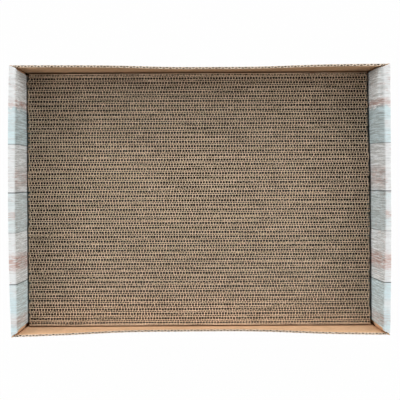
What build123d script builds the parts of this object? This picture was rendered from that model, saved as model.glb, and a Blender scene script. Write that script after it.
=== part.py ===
"""Cardboard cat scratcher: a folded tray of corrugated board that holds a loose scratching pad.

The tray is a roll-end tray. Each long wall is a single board whose ends fold round as corner tabs.
Each short end is a double wall: the outer end wall folds over the corner tabs at the rim and comes
down inside as a flap, whose lock tabs seat in slots in the base. The pad is a stack of double-wall
board strips on edge, with their flute ends up, and it lifts out to be turned over.

Frame: X along the strips, Y across them towards the back wall, Z up. The origin is the centre of
the tray's underside. Sizes are in millimetres.
"""
import os

from build123d import *

# Scratching pad
strip_length = 438.0
strip_thickness = 5.8
strip_height = 40.0
strip_count = 56
strips_per_node = 2

# Tray board: two liners with a fluted medium between them
board_thickness = 3.0
liner_thickness = 0.4
medium_thickness = 0.4
flute_pitch = 8.0
flute_wide_share = 0.74
flute_narrow_share = 0.12
crease_width = 4.0

# Depth of the recess above the pad, and the folded details
recess_depth = 38.0
corner_tab_length = 57.0
lock_tab_width = 60.0
lock_tab_spacing = 160.0

# Clearances
pad_end_gap = 2.0
pad_side_gap = 1.2
fold_gap = 0.3
rim_side_gap = 0.6
front_flap_gap = 3.2
back_flap_gap = 0.4
lock_slot_clearance = 0.3

# How far a cutting solid runs past what it cuts
cut_overrun = 1.0

# Layers of a short end, from the pad outwards
pad_width = strip_thickness * strip_count
flap_inner_x = strip_length / 2 + pad_end_gap
flap_outer_x = flap_inner_x + board_thickness
tab_inner_x = flap_outer_x + fold_gap
tab_outer_x = tab_inner_x + board_thickness
end_inner_x = tab_outer_x + fold_gap
half_length = end_inner_x + board_thickness

# Layers of a long side, and the levels from the ground up
wall_inner_y = pad_width / 2 + pad_side_gap
half_width = wall_inner_y + board_thickness
base_top = board_thickness
rim_top = base_top + strip_height + recess_depth
rim_under = rim_top - board_thickness

# Crease planes of the back right corner: the two panels of a fold meet on them as a mitre
base_end_fold = Plane(origin=(half_length, 0, 0), z_dir=(1, 0, 1))
base_side_fold = Plane(origin=(0, half_width, 0), z_dir=(0, 1, 1))
rim_outer_fold = Plane(origin=(half_length, 0, rim_top), z_dir=(-1, 0, 1))
rim_inner_fold = Plane(origin=(flap_inner_x, 0, rim_top), z_dir=(1, 0, 1))
tab_fold = Plane(origin=(tab_outer_x, half_width, 0), z_dir=(1, -1, 0))


def flute_opening(centre, lies_low):
    """Outline of one flute opening in a board's section, wide on the liner that it lies on."""
    half_wide = flute_pitch * flute_wide_share / 2
    half_narrow = flute_pitch * flute_narrow_share / 2
    low = liner_thickness
    high = board_thickness - liner_thickness
    if lies_low:
        high = high - medium_thickness
        low_half, high_half = half_wide, half_narrow
    else:
        low = low + medium_thickness
        low_half, high_half = half_narrow, half_wide
    corners = [
        (centre - low_half, low),
        (centre + low_half, low),
        (centre + high_half, high),
        (centre - high_half, high),
    ]
    return Wire.make_polygon([Vector(*corner) for corner in corners], close=True)


def corrugated_board(start, end, length):
    """Corrugated board from start to end across its flutes (X), length along them (Z, centred).

    Its thickness goes up from Y = 0. The flutes are crushed flat beside each edge.
    """
    step = flute_pitch / 2
    room = end - start - 2 * crease_width - flute_pitch * flute_wide_share
    opening_count = int(room // step) + 1
    middle = (start + end) / 2
    first = middle - step * (opening_count - 1) / 2
    outline = Wire.make_polygon(
        [
            Vector(start, 0),
            Vector(end, 0),
            Vector(end, board_thickness),
            Vector(start, board_thickness),
        ],
        close=True,
    )
    openings = [flute_opening(first + step * i, i % 2 == 0) for i in range(opening_count)]
    return extrude(Face(outline, openings), amount=length / 2, both=True)


def below(panel, fold):
    """The part of a panel on the lower side of a crease plane."""
    return split(panel, bisect_by=fold, keep=Keep.BOTTOM)


def above(panel, fold):
    """The part of a panel on the upper side of a crease plane."""
    return split(panel, bisect_by=fold, keep=Keep.TOP)


def to_left(panel):
    """The left twin of a panel at the right end."""
    return mirror(panel, about=Plane.YZ)


def to_front(panel):
    """The front twin of a panel at the back."""
    return mirror(panel, about=Plane.XZ)


def mitre_both_ways(panel, fold, to_other_side):
    """A panel that stays below a crease plane and below that plane's twin on the other side."""
    return below(to_other_side(below(panel, fold)), fold)


def span_box(low, high):
    """Box between two corners."""
    size = Vector(*high) - Vector(*low)
    return Pos(*low) * Box(size.X, size.Y, size.Z, align=(Align.MIN, Align.MIN, Align.MIN))


def lock_tab_places():
    """Centres of a flap's lock tabs across the tray."""
    return [-lock_tab_spacing / 2, lock_tab_spacing / 2]


def make_base():
    """Base with its flutes across the tray, mitred all round, with the lock slots."""
    board = Plane(origin=(0, 0, 0), x_dir=(1, 0, 0), z_dir=(0, -1, 0))
    panel = board * corrugated_board(-half_length, half_length, 2 * half_width)
    panel = mitre_both_ways(panel, base_end_fold, to_left)
    panel = mitre_both_ways(panel, base_side_fold, to_front)
    half_slot = lock_tab_width / 2 + lock_slot_clearance
    for place in lock_tab_places():
        slot = span_box(
            (flap_inner_x - lock_slot_clearance, place - half_slot, -cut_overrun),
            (flap_outer_x + lock_slot_clearance, place + half_slot, base_top + cut_overrun),
        )
        panel = panel - slot - to_left(slot)
    return panel


def make_back_wall():
    """Long wall with upright flutes, open along its raw top edge."""
    board = Plane(origin=(0, wall_inner_y, rim_under / 2), x_dir=(1, 0, 0), z_dir=(0, 0, 1))
    panel = board * corrugated_board(-tab_outer_x, tab_outer_x, rim_under)
    panel = above(panel, base_side_fold)
    return mitre_both_ways(panel, tab_fold, to_left)


def make_corner_tab():
    """Tab folded from the back wall's right end, held between the two layers of the end."""
    low = base_top + fold_gap
    high = rim_under - fold_gap
    board = Plane(origin=(tab_outer_x, 0, (low + high) / 2), x_dir=(0, 1, 0), z_dir=(0, 0, 1))
    panel = board * corrugated_board(half_width - corner_tab_length, half_width, high - low)
    return above(panel, tab_fold)


def make_end_wall():
    """Outer layer of the right end, from its crease with the base to its crease with the rim."""
    board = Plane(origin=(end_inner_x, 0, 0), x_dir=(0, 0, 1), z_dir=(0, 1, 0))
    panel = board * corrugated_board(0, rim_top, 2 * half_width)
    return below(above(panel, base_end_fold), rim_outer_fold)


def make_rim():
    """Top of the right end: board crushed flat between two creases, narrower on its inner side."""
    inner_half = wall_inner_y - rim_side_gap
    plan = Polygon(
        (flap_inner_x, -inner_half),
        (half_length, -half_width),
        (half_length, half_width),
        (flap_inner_x, inner_half),
        align=None,
    )
    panel = Pos(0, 0, rim_under) * extrude(plan, amount=board_thickness)
    return above(above(panel, rim_outer_fold), rim_inner_fold)


def make_flap():
    """Inner layer of the right end, standing on the base, with its lock tabs in the base's slots."""
    front_edge = -wall_inner_y + front_flap_gap
    back_edge = wall_inner_y - back_flap_gap
    board = Plane(
        origin=(flap_inner_x, (front_edge + back_edge) / 2, 0),
        x_dir=(0, 0, 1),
        z_dir=(0, 1, 0),
    )
    panel = board * corrugated_board(base_top, rim_top, back_edge - front_edge)
    panel = below(panel, rim_inner_fold)
    for place in lock_tab_places():
        panel = panel + span_box(
            (flap_inner_x, place - lock_tab_width / 2, fold_gap),
            (flap_outer_x, place + lock_tab_width / 2, base_top),
        )
    return panel


def make_strip(number):
    """One strip of the pad, counted from the front."""
    near = strip_thickness * number - pad_width / 2
    return span_box(
        (-strip_length / 2, near, base_top),
        (strip_length / 2, near + strip_thickness, base_top + strip_height),
    )


def make_tray():
    """Panels of the tray by name."""
    back_wall = make_back_wall()
    back_right_tab = make_corner_tab()
    end_wall = make_end_wall()
    rim = make_rim()
    flap = make_flap()
    return {
        "tray_base": make_base(),
        "back_wall": back_wall,
        "front_wall": to_front(back_wall),
        "back_right_tab": back_right_tab,
        "back_left_tab": to_left(back_right_tab),
        "front_right_tab": to_front(back_right_tab),
        "front_left_tab": to_left(to_front(back_right_tab)),
        "right_end_wall": end_wall,
        "left_end_wall": to_left(end_wall),
        "right_rim": rim,
        "left_rim": to_left(rim),
        "right_inner_flap": flap,
        "left_inner_flap": to_left(flap),
    }


def make_pad():
    """Strips of the pad by name, a few neighbours to a node."""
    strips = [make_strip(number) for number in range(strip_count)]
    nodes = {}
    for first in range(0, strip_count, strips_per_node):
        name = f"pad_strips_{first // strips_per_node + 1:02d}"
        nodes[name] = Compound(children=strips[first : first + strips_per_node])
    return nodes


os.makedirs("parts", exist_ok=True)
for node, shape in {**make_tray(), **make_pad()}.items():
    export_step(shape, f"parts/{node}.step")
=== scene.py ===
"""Looks of the cardboard cat scratcher: a folded printed tray and its pad of cut board strips.

Lengths are in metres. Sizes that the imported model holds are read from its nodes. The classes add
what the solids leave out: flutes, rounded folds, bowed walls, frayed cut edges and printed planks.
"""

import logging
import math
from dataclasses import dataclass, field
from enum import Enum
from typing import Callable, Optional

import bpy
import numpy as np
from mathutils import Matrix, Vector


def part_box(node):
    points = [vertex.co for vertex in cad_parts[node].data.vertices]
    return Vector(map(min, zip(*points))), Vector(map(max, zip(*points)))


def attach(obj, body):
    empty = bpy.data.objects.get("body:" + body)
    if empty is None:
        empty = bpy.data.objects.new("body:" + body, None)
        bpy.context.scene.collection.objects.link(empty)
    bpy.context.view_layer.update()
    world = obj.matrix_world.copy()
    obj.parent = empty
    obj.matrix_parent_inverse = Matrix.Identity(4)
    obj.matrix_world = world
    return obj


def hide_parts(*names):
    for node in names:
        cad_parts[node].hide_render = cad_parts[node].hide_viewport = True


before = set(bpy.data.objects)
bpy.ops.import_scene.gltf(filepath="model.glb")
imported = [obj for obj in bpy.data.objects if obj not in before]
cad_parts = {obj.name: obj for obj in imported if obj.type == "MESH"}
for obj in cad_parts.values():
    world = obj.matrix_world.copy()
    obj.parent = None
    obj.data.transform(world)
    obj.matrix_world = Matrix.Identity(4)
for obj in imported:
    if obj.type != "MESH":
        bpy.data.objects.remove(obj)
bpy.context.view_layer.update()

MM = 0.001
SAME_PLACE = 0.1 * MM
FLUTE_PITCH = 8.0 * MM
PRINT_MAP = "print"

log = logging.getLogger("cat_scratcher")

Array = np.ndarray
OnGrid = Callable[[Array, Array], Array]
Socket = bpy.types.NodeSocket
Span = tuple[float, float]
Triple = tuple[float, float, float]
Colour = tuple[float, float, float]


class Face(Enum):
    """What a face of a board shows, as its material slot on a piece."""

    PRINT = 0
    KRAFT = 1
    CUT = 2
    FLUTE = 3


class Layer(Enum):
    """Paper layers of the tray's board, from its outside in."""

    OUTER = 0
    MEDIUM = 1
    INNER = 2


class End(Enum):
    """Short ends of the tray, by the sign of X."""

    LEFT = -1
    RIGHT = 1


class Long(Enum):
    """Long sides of the tray, by the sign of Y."""

    FRONT = -1
    BACK = 1


def rise(value: Array, start: float, stop: float) -> Array:
    """0 up to a start, 1 from a stop, and straight between them."""
    return np.clip((value - start) / (stop - start), 0, 1)


def cell_middles(values: Array) -> Array:
    """Mean of the four corners of each cell of a grid."""
    return 0.25 * (values[1:, 1:] + values[:-1, 1:] + values[1:, :-1] + values[:-1, :-1])


def smooth_noise(rng: np.random.Generator, count: int, spread: float) -> Array:
    """Random values of about unit size that change slowly from one to the next.

    Args:
        rng: The seeded source.
        count: How many values.
        spread: How many neighbours they are smoothed over.

    Returns:
        The values.
    """
    bell_cut = 3
    reach = int(bell_cut * spread)
    window = np.exp(-0.5 * (np.arange(-reach, reach + 1) / spread) ** 2)
    raw = rng.normal(size=count + 2 * reach)
    return np.convolve(raw, window / np.sqrt((window**2).sum()), mode="valid")


@dataclass(frozen=True)
class SheetDress:
    """Faces that a thin sheet shows on its front, its back and its cut edges."""

    front: Face
    back: Face
    edge: Face = Face.CUT


@dataclass
class MeshDraft:
    """Vertices, faces and print coordinates of one piece, gathered sheet by sheet."""

    points: list[Array] = field(default_factory=list)
    prints: list[Array] = field(default_factory=list)
    quads: list[Array] = field(default_factory=list)
    slots: list[Array] = field(default_factory=list)
    count: int = 0
    sharp_angle: float = math.radians(35)

    def add_sheet(
        self,
        front: Array,
        back: Array,
        prints: Array,
        dress: SheetDress,
        kept: Optional[Array] = None,
    ) -> None:
        """Adds a closed thin sheet between two grids of points.

        Args:
            front: Points of the front, (rows, columns, 3).
            back: Points of the back, the same shape.
            prints: Print coordinates of the grid, (rows, columns, 2).
            dress: Faces of the front, back and edges.
            kept: Which cells of the grid are there, (rows - 1, columns - 1); all of them if left out.
        """
        rows, columns = front.shape[:2]
        if kept is None:
            kept = np.ones((rows - 1, columns - 1), bool)
        step_down = front[1, 0] - front[0, 0]
        step_over = front[0, 1] - front[0, 0]
        outwards = float(np.dot(np.cross(step_down, step_over), front[0, 0] - back[0, 0])) > 0
        top = np.arange(rows * columns).reshape(rows, columns)
        low = top + rows * columns
        around = np.pad(kept, 1)
        down, over = around[1:-1, :], around[:, 1:-1]
        groups = [
            (dress.front, top[:-1, :-1], top[1:, :-1], top[1:, 1:], top[:-1, 1:], kept),
            (dress.back, low[:-1, :-1], low[:-1, 1:], low[1:, 1:], low[1:, :-1], kept),
            (dress.edge, top[:-1], low[:-1], low[1:], top[1:], down[:, 1:] & ~down[:, :-1]),
            (dress.edge, top[:-1], top[1:], low[1:], low[:-1], down[:, :-1] & ~down[:, 1:]),
            (dress.edge, top[:, :-1], top[:, 1:], low[:, 1:], low[:, :-1], over[1:] & ~over[:-1]),
            (dress.edge, top[:, :-1], low[:, :-1], low[:, 1:], top[:, 1:], over[:-1] & ~over[1:]),
        ]
        for face, a, b, c, d, there in groups:
            quads = np.stack([corner[there] for corner in (a, b, c, d)], axis=-1) + self.count
            self.quads.append(quads if outwards else quads[:, ::-1])
            self.slots.append(np.full(len(quads), face.value))
        self.points += [front.reshape(-1, 3), back.reshape(-1, 3)]
        self.prints += [prints.reshape(-1, 2)] * 2
        self.count += 2 * rows * columns

    def to_object(self, name: str, materials: list[bpy.types.Material]) -> bpy.types.Object:
        """Makes the piece.

        Args:
            name: The piece's name.
            materials: Its materials, in the order of Face.

        Returns:
            The new object, linked to the scene.
        """
        mesh = bpy.data.meshes.new(name)
        quads = np.concatenate(self.quads)
        mesh.from_pydata(np.concatenate(self.points).tolist(), [], quads.tolist())
        mesh.polygons.foreach_set("material_index", np.concatenate(self.slots).astype(np.int32))
        mesh.polygons.foreach_set("use_smooth", np.ones(len(quads), bool))
        layer = mesh.uv_layers.new(name=PRINT_MAP)
        loop_prints = np.concatenate(self.prints)[quads.reshape(-1)]
        layer.uv.foreach_set("vector", loop_prints.reshape(-1).astype(np.float32))
        for material in materials:
            mesh.materials.append(material)
        mesh.set_sharp_from_angle(angle=self.sharp_angle)
        mesh.validate()
        piece = bpy.data.objects.new(name, mesh)
        bpy.context.scene.collection.objects.link(piece)
        return piece


@dataclass(frozen=True)
class Grain:
    """Noise in a finish.

    Attributes:
        rates: How often it changes along each axis, per metre.
        detail: How many finer layers it has.
        rough: How strong the finer layers are.
        low: Level up to which its mask is 0.
        high: Level from which its mask is 1.
    """

    rates: Triple
    detail: float
    rough: float
    low: float = 0.0
    high: float = 1.0


class NodeSheet:
    """A material's node tree, with short calls for the nodes that the finishes share.

    Attributes:
        mix_inputs: Numbers of a mix node's colour inputs, after those for numbers and vectors.
        mix_output: Number of its colour output.
    """

    mix_inputs = (6, 7)
    mix_output = 2

    def __init__(self, name: str) -> None:
        """Makes an empty material with its output.

        Args:
            name: The material's name.
        """
        self.material = bpy.data.materials.new(name)
        self.material.use_nodes = True
        self.tree = self.material.node_tree
        self.tree.nodes.clear()
        self.output = self.tree.nodes.new("ShaderNodeOutputMaterial")

    def link(self, source: Socket, target: Socket) -> None:
        """Joins two sockets."""
        self.tree.links.new(source, target)

    def feed(self, socket: Socket, value: object) -> None:
        """Fills an input.

        Args:
            socket: The input.
            value: A socket to link it to, or a value to set.
        """
        if isinstance(value, bpy.types.NodeSocket):
            self.link(value, socket)
        else:
            socket.default_value = value

    def parts(self, vector: Socket) -> list[Socket]:
        """Splits a vector or a colour.

        Args:
            vector: What is split.

        Returns:
            Its three parts.
        """
        node = self.tree.nodes.new("ShaderNodeSeparateXYZ")
        self.link(vector, node.inputs[0])
        return list(node.outputs)

    def print_place(self) -> tuple[Socket, Socket]:
        """Finds the place on the flat printed blank.

        Returns:
            The place along the planks, and the place across them.
        """
        node = self.tree.nodes.new("ShaderNodeUVMap")
        node.uv_map = PRINT_MAP
        along, across, _ = self.parts(node.outputs["UV"])
        return along, across

    def object_place(self) -> Socket:
        """Place in the part's own frame."""
        return self.tree.nodes.new("ShaderNodeTexCoord").outputs["Object"]

    def combine(self, x: object, y: object, z: object = 0.0) -> Socket:
        """Makes a vector.

        Args:
            x: Its first part, a number or a socket.
            y: Its second part.
            z: Its third part.

        Returns:
            The vector.
        """
        node = self.tree.nodes.new("ShaderNodeCombineXYZ")
        for socket, value in zip(node.inputs, (x, y, z)):
            self.feed(socket, value)
        return node.outputs[0]

    def math(self, operation: str, first: object, second: object = 0.0, third: object = 0.0) -> Socket:
        """Works out a sum or another operation.

        Args:
            operation: Name of the operation.
            first: Its first number or socket.
            second: Its second one, where it has two.
            third: Its third one, where it has three.

        Returns:
            The result.
        """
        node = self.tree.nodes.new("ShaderNodeMath")
        node.operation = operation
        for socket, value in zip(node.inputs, (first, second, third)):
            self.feed(socket, value)
        return node.outputs[0]

    def times(self, first: Socket, second: object) -> Socket:
        """A product of two values."""
        return self.math("MULTIPLY", first, second)

    def blend(self, first: Socket, second: Socket, share: float = 0.5) -> Socket:
        """Mean of two values: the first by its share, the second by the rest."""
        return self.math("MULTIPLY_ADD", first, share, self.times(second, 1 - share))

    def noise(self, place: Socket, grain: Grain) -> Socket:
        """Makes soft noise.

        Args:
            place: Where it is taken.
            grain: Its kind.

        Returns:
            Its level, from 0 to 1.
        """
        stretched = self.tree.nodes.new("ShaderNodeVectorMath")
        stretched.operation = "MULTIPLY"
        self.link(place, stretched.inputs[0])
        stretched.inputs[1].default_value = grain.rates
        node = self.tree.nodes.new("ShaderNodeTexNoise")
        self.link(stretched.outputs[0], node.inputs["Vector"])
        node.inputs["Scale"].default_value = 1.0
        node.inputs["Detail"].default_value = grain.detail
        node.inputs["Roughness"].default_value = grain.rough
        return node.outputs["Fac"]

    def between(self, value: Socket, low: float, high: float) -> Socket:
        """Makes a soft step.

        Args:
            value: What it follows.
            low: Value up to which it is 0.
            high: Value from which it is 1.

        Returns:
            The step.
        """
        node = self.tree.nodes.new("ShaderNodeMapRange")
        node.interpolation_type = "SMOOTHSTEP"
        self.link(value, node.inputs["Value"])
        node.inputs["From Min"].default_value = low
        node.inputs["From Max"].default_value = high
        return node.outputs["Result"]

    def mask(self, place: Socket, grain: Grain) -> Socket:
        """Noise with a soft step from its low level to its high level."""
        return self.between(self.noise(place, grain), grain.low, grain.high)

    def ramp(self, value: Socket, stops: list[tuple[float, Colour]]) -> Socket:
        """Makes colours along a value.

        Args:
            value: The value, from 0 to 1.
            stops: Places and their colours, in order.

        Returns:
            The colour.
        """
        node = self.tree.nodes.new("ShaderNodeValToRGB")
        elements = node.color_ramp.elements
        while len(elements) < len(stops):
            elements.new(1.0)
        for element, (place, colour) in zip(elements, stops):
            element.position = place
            element.color = (*colour, 1.0)
        self.link(value, node.inputs[0])
        return node.outputs["Color"]

    def mix(self, share: object, first: object, second: object, way: str = "MIX") -> Socket:
        """Lays one colour over another.

        Args:
            share: How much of the second one shows.
            first: The colour below, as three parts or a socket.
            second: The colour above.
            way: Name of the way they mix.

        Returns:
            The mixed colour.
        """
        node = self.tree.nodes.new("ShaderNodeMix")
        node.data_type = "RGBA"
        node.blend_type = way
        self.feed(node.inputs[0], share)
        for number, value in zip(self.mix_inputs, (first, second)):
            self.feed(node.inputs[number], (*value, 1.0) if isinstance(value, tuple) else value)
        return node.outputs[self.mix_output]

    def bump(self, height: Socket, distance: float, before: Optional[Socket] = None) -> Socket:
        """Makes a normal that follows a height.

        Args:
            height: The height, in shares of the distance.
            distance: The height of 1.
            before: Another normal that this one adds to.

        Returns:
            The normal.
        """
        node = self.tree.nodes.new("ShaderNodeBump")
        node.inputs["Strength"].default_value = 1.0
        node.inputs["Distance"].default_value = distance
        self.link(height, node.inputs["Height"])
        if before is not None:
            self.link(before, node.inputs["Normal"])
        return node.outputs["Normal"]

    def washboard(self, along: Socket, height: float) -> Socket:
        """Normal with the faint waves that the tray board's flutes leave in its liner."""
        wave = self.math("SINE", self.times(along, 2 * math.pi / FLUTE_PITCH))
        return self.bump(wave, height)

    def matt(self, colour: Socket, rough: float, normal: Socket, gloss: float) -> bpy.types.Material:
        """Finishes as a matt surface.

        Args:
            colour: Its colour.
            rough: Its roughness.
            normal: Its normal.
            gloss: Its specular level.

        Returns:
            The material.
        """
        shader = self.tree.nodes.new("ShaderNodeBsdfPrincipled")
        self.link(colour, shader.inputs["Base Color"])
        shader.inputs["Roughness"].default_value = rough
        shader.inputs["Specular IOR Level"].default_value = gloss
        self.link(normal, shader.inputs["Normal"])
        self.link(shader.outputs[0], self.output.inputs["Surface"])
        return self.material


@dataclass(frozen=True)
class Plank:
    """One printed plank across the blank.

    Attributes:
        end: Where it ends across the blank.
        paint: Its colour.
        bare: How much of its paint is worn off.
        flecks: How much old red paint it shows.
        seam: How dark the seam at its end is.
        on_flap: How bright it is on the end flaps, beside the rims: painted shade on the upright flaps.
    """

    end: float
    paint: Colour
    bare: float
    flecks: float
    seam: float
    on_flap: float = 1.0


@dataclass(frozen=True)
class RedBand:
    """A band of smeared old red paint across the blank.

    Attributes:
        centre: Its middle across the blank.
        half: Half its width.
        on_rim: How strong it is on the rims and the outer walls.
        on_flap: How strong it is on the end flaps.
    """

    centre: float
    half: float
    on_rim: float
    on_flap: float


WHITE_PAINT = (0.80, 0.815, 0.815)
CLEAN_PAINT = (0.84, 0.855, 0.855)
BRIGHT_PAINT = (0.90, 0.915, 0.915)
AQUA_PAINT = (0.655, 0.78, 0.808)
BRIGHT_AQUA_PAINT = (0.70, 0.83, 0.855)
PALE_AQUA_PAINT = (0.72, 0.793, 0.803)
PINK_PAINT = (0.78, 0.755, 0.745)


@dataclass(frozen=True)
class PrintedPlanks:
    """Matt print of weathered planks: paint worn off along the grain, flecks of old red paint, and painted
    shade on the end flaps.
    """

    planks: tuple[Plank, ...] = (
        Plank(-232 * MM, WHITE_PAINT, 0.45, 0.40, 0.8),
        Plank(-178 * MM, PINK_PAINT, 0.40, 0.55, 0.8),
        # The last number of a plank, where given, is how bright it is on the end flaps: painted shade.
        Plank(-102 * MM, AQUA_PAINT, 0.40, 0.25, 0.9, 1.02),
        Plank(-39 * MM, WHITE_PAINT, 0.45, 0.45, 0.4, 1.06),
        Plank(10 * MM, PALE_AQUA_PAINT, 0.50, 0.35, 0.9, 0.89),
        Plank(69.5 * MM, CLEAN_PAINT, 0.45, 0.40, 0.5, 0.93),
        Plank(115 * MM, BRIGHT_AQUA_PAINT, 0.40, 0.30, 0.2, 0.82),
        Plank(178 * MM, BRIGHT_PAINT, 0.50, 0.40, 0.8),
        Plank(232 * MM, AQUA_PAINT, 0.40, 0.40, 0.8),
        Plank(300 * MM, WHITE_PAINT, 0.45, 0.45, 0.0),
    )
    red_bands: tuple[RedBand, ...] = (
        RedBand(-148 * MM, 9 * MM, 0.32, 0.65),
        RedBand(-76 * MM, 13 * MM, 0.90, 1.00),
        RedBand(-18 * MM, 6 * MM, 0.65, 0.08),
        RedBand(28 * MM, 16 * MM, 0.05, 0.60),
        RedBand(120 * MM, 6 * MM, 0.55, 0.95),
    )
    full_band_share: float = 0.4
    reach: float = 300 * MM
    wood: Colour = (0.50, 0.495, 0.475)
    red: Colour = (0.55, 0.34, 0.29)
    seam: Colour = (0.10, 0.115, 0.12)
    seam_width: float = 1.3 * MM
    faint_seam: float = 0.3
    ragged_edge: float = 30 * MM
    ripple: Grain = Grain((90.0, 30.0, 1.0), 4.0, 0.75)
    fade: Grain = Grain((9.0, 50.0, 1.0), 2.0, 0.5, 0.44, 0.66)
    # How strongly paint goes to white on the rims and on the flaps; the rims' larger share is partly painted
    # light.
    rim_fade: float = 0.80
    flap_fade: float = 0.20
    grain: Grain = Grain((60.0, 900.0, 9.0), 6.0, 0.65)
    patches: Grain = Grain((45.0, 190.0, 7.0), 5.0, 0.7)
    worn_levels: Span = (0.48, 0.62)
    flecks: Grain = Grain((70.0, 320.0, 13.0), 5.0, 0.75, 0.54, 0.66)
    smears: Grain = Grain((60.0, 640.0, 3.0), 4.0, 0.8, 0.39, 0.57)
    cracks: Grain = Grain((30.0, 1300.0, 5.0), 3.0, 0.6, 0.66, 0.76)
    crack_share: float = 0.45
    mottle: Grain = Grain((36.0, 760.0, 1.0), 4.0, 0.85, 0.42, 0.57)
    # How strong the mottling is on the rims and on the flaps; the flaps' share is partly painted shade.
    rim_mottle: float = 0.18
    flap_mottle: float = 0.88
    flap_start: float = 319 * MM
    flap_full: float = 322 * MM
    # Painted shade: grey that darkens the print on the upright end flaps.
    flap_shade: Colour = (0.92, 0.94, 0.95)
    grain_height: float = 0.05 * MM
    flute_height: float = 0.07 * MM
    rough: float = 0.62
    gloss: float = 0.3

    def band_stops(self, on_flap: bool) -> list[tuple[float, Colour]]:
        """Ramp stops that rise to each red band's strength about its middle.

        Args:
            on_flap: Whether the strengths are those on the end flaps.

        Returns:
            The places of the stops and their levels.
        """
        stops = [(0.0, (0.0,) * 3)]
        full = self.full_band_share
        for band in self.red_bands:
            strength = band.on_flap if on_flap else band.on_rim
            for shift, level in ((-1.0, 0.0), (-full, strength), (full, strength), (1.0, 0.0)):
                place = (band.centre + shift * band.half + self.reach) / (2 * self.reach)
                stops.append((place, (level,) * 3))
        return stops

    def plank_edges(self, sheet: NodeSheet, along: Socket, across: Socket) -> list[Socket]:
        """Which planks' ends lie before a place: straight at dark seams, ragged at faint ones.

        Args:
            sheet: The material's nodes.
            along: Place along the planks.
            across: Place across the blank.

        Returns:
            0 or 1 for each plank but the last.
        """
        ripple = sheet.noise(sheet.combine(along, across), self.ripple)
        shift = sheet.math("MULTIPLY_ADD", ripple, self.ragged_edge, -self.ragged_edge / 2)
        ragged = sheet.math("ADD", across, shift)
        edges = []
        for plank in self.planks[:-1]:
            place = across if plank.seam > self.faint_seam else ragged
            edges.append(sheet.math("GREATER_THAN", place, plank.end))
        return edges

    def by_plank(self, sheet: NodeSheet, edges: list[Socket], pick: Callable[[Plank], Colour]) -> Socket:
        """Makes one colour for each plank.

        Args:
            sheet: The material's nodes.
            edges: Which planks' ends lie before a place.
            pick: Gives a plank's colour.

        Returns:
            The colour.
        """
        colour = pick(self.planks[0])
        for past, plank in zip(edges, self.planks[1:]):
            colour = sheet.mix(past, colour, pick(plank))
        return colour

    def shaded_flap_tint(self, plank: Plank) -> Colour:
        """Colour of a plank's painted shade on the end flaps: the flaps' grey times its brightness there."""
        return tuple(plank.on_flap * part for part in self.flap_shade)

    def seam_lines(self, sheet: NodeSheet, across: Socket) -> Socket:
        """Finds how dark a seam is at each place.

        Args:
            sheet: The material's nodes.
            across: Place across the blank.

        Returns:
            From 0 between the seams to 1 on the darkest.
        """
        lines = 0.0
        for plank in self.planks[:-1]:
            line = sheet.math("COMPARE", across, plank.end, self.seam_width / 2)
            lines = sheet.math("MULTIPLY_ADD", line, plank.seam, lines)
        return lines

    def build(self) -> bpy.types.Material:
        """Makes the material, from its paint up to the mottling and the painted shade on the flaps.

        Returns:
            The material.
        """
        sheet = NodeSheet("printed_planks")
        along, across = sheet.print_place()
        edges = self.plank_edges(sheet, along, across)
        inside = sheet.between(sheet.math("ABSOLUTE", along), self.flap_start, self.flap_full)

        def by_side(rim: float, flap: float) -> Socket:
            """A share that goes from its value on the rims to its value on the flaps."""
            return sheet.math("MULTIPLY_ADD", inside, flap - rim, rim)

        # Paint goes to white in patches, far more on the rims than on the end flaps: partly weathering,
        # partly painted light that keeps the rims' tops paler than the flaps.
        fade = sheet.mask(sheet.combine(along, across), self.fade)
        paint = self.by_plank(sheet, edges, lambda plank: plank.paint)
        paint = sheet.mix(sheet.times(fade, by_side(self.rim_fade, self.flap_fade)), paint, WHITE_PAINT)
        wear = self.by_plank(sheet, edges, lambda plank: (plank.bare, plank.flecks, plank.end / self.reach))
        bare, flecks, shuffle = sheet.parts(wear)
        place = sheet.combine(along, across, shuffle)
        grain = sheet.noise(place, self.grain)
        worn = sheet.between(sheet.blend(grain, sheet.noise(place, self.patches)), *self.worn_levels)
        colour = sheet.mix(sheet.times(worn, bare), paint, self.wood)
        colour = sheet.mix(sheet.times(sheet.mask(place, self.flecks), flecks), colour, self.red)
        share = sheet.math("MULTIPLY_ADD", across, 1 / (2 * self.reach), 0.5)
        rim_band = sheet.ramp(share, self.band_stops(on_flap=False))
        flap_band = sheet.ramp(share, self.band_stops(on_flap=True))
        band = sheet.mix(inside, rim_band, flap_band)
        colour = sheet.mix(sheet.times(sheet.mask(place, self.smears), band), colour, self.red)
        cracks = sheet.mask(place, self.cracks)
        colour = sheet.mix(sheet.times(cracks, self.crack_share), colour, self.seam)
        colour = sheet.mix(self.seam_lines(sheet, across), colour, self.seam)
        # Painted shade: the print is darkened on the end flaps, plank by plank.
        painted_flap_shade = self.by_plank(sheet, edges, self.shaded_flap_tint)
        colour = sheet.mix(inside, colour, sheet.mix(1.0, colour, painted_flap_shade, "MULTIPLY"))
        # Darker mottling over the print, far stronger on the end flaps than on the rims: partly the print's
        # own mottling, partly painted shade on the flaps.
        mottling = sheet.times(sheet.mask(place, self.mottle), by_side(self.rim_mottle, self.flap_mottle))
        colour = sheet.mix(mottling, colour, self.wood, "MULTIPLY")
        normal = sheet.bump(grain, self.grain_height, sheet.washboard(along, self.flute_height))
        return sheet.matt(colour, self.rough, normal, self.gloss)


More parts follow.
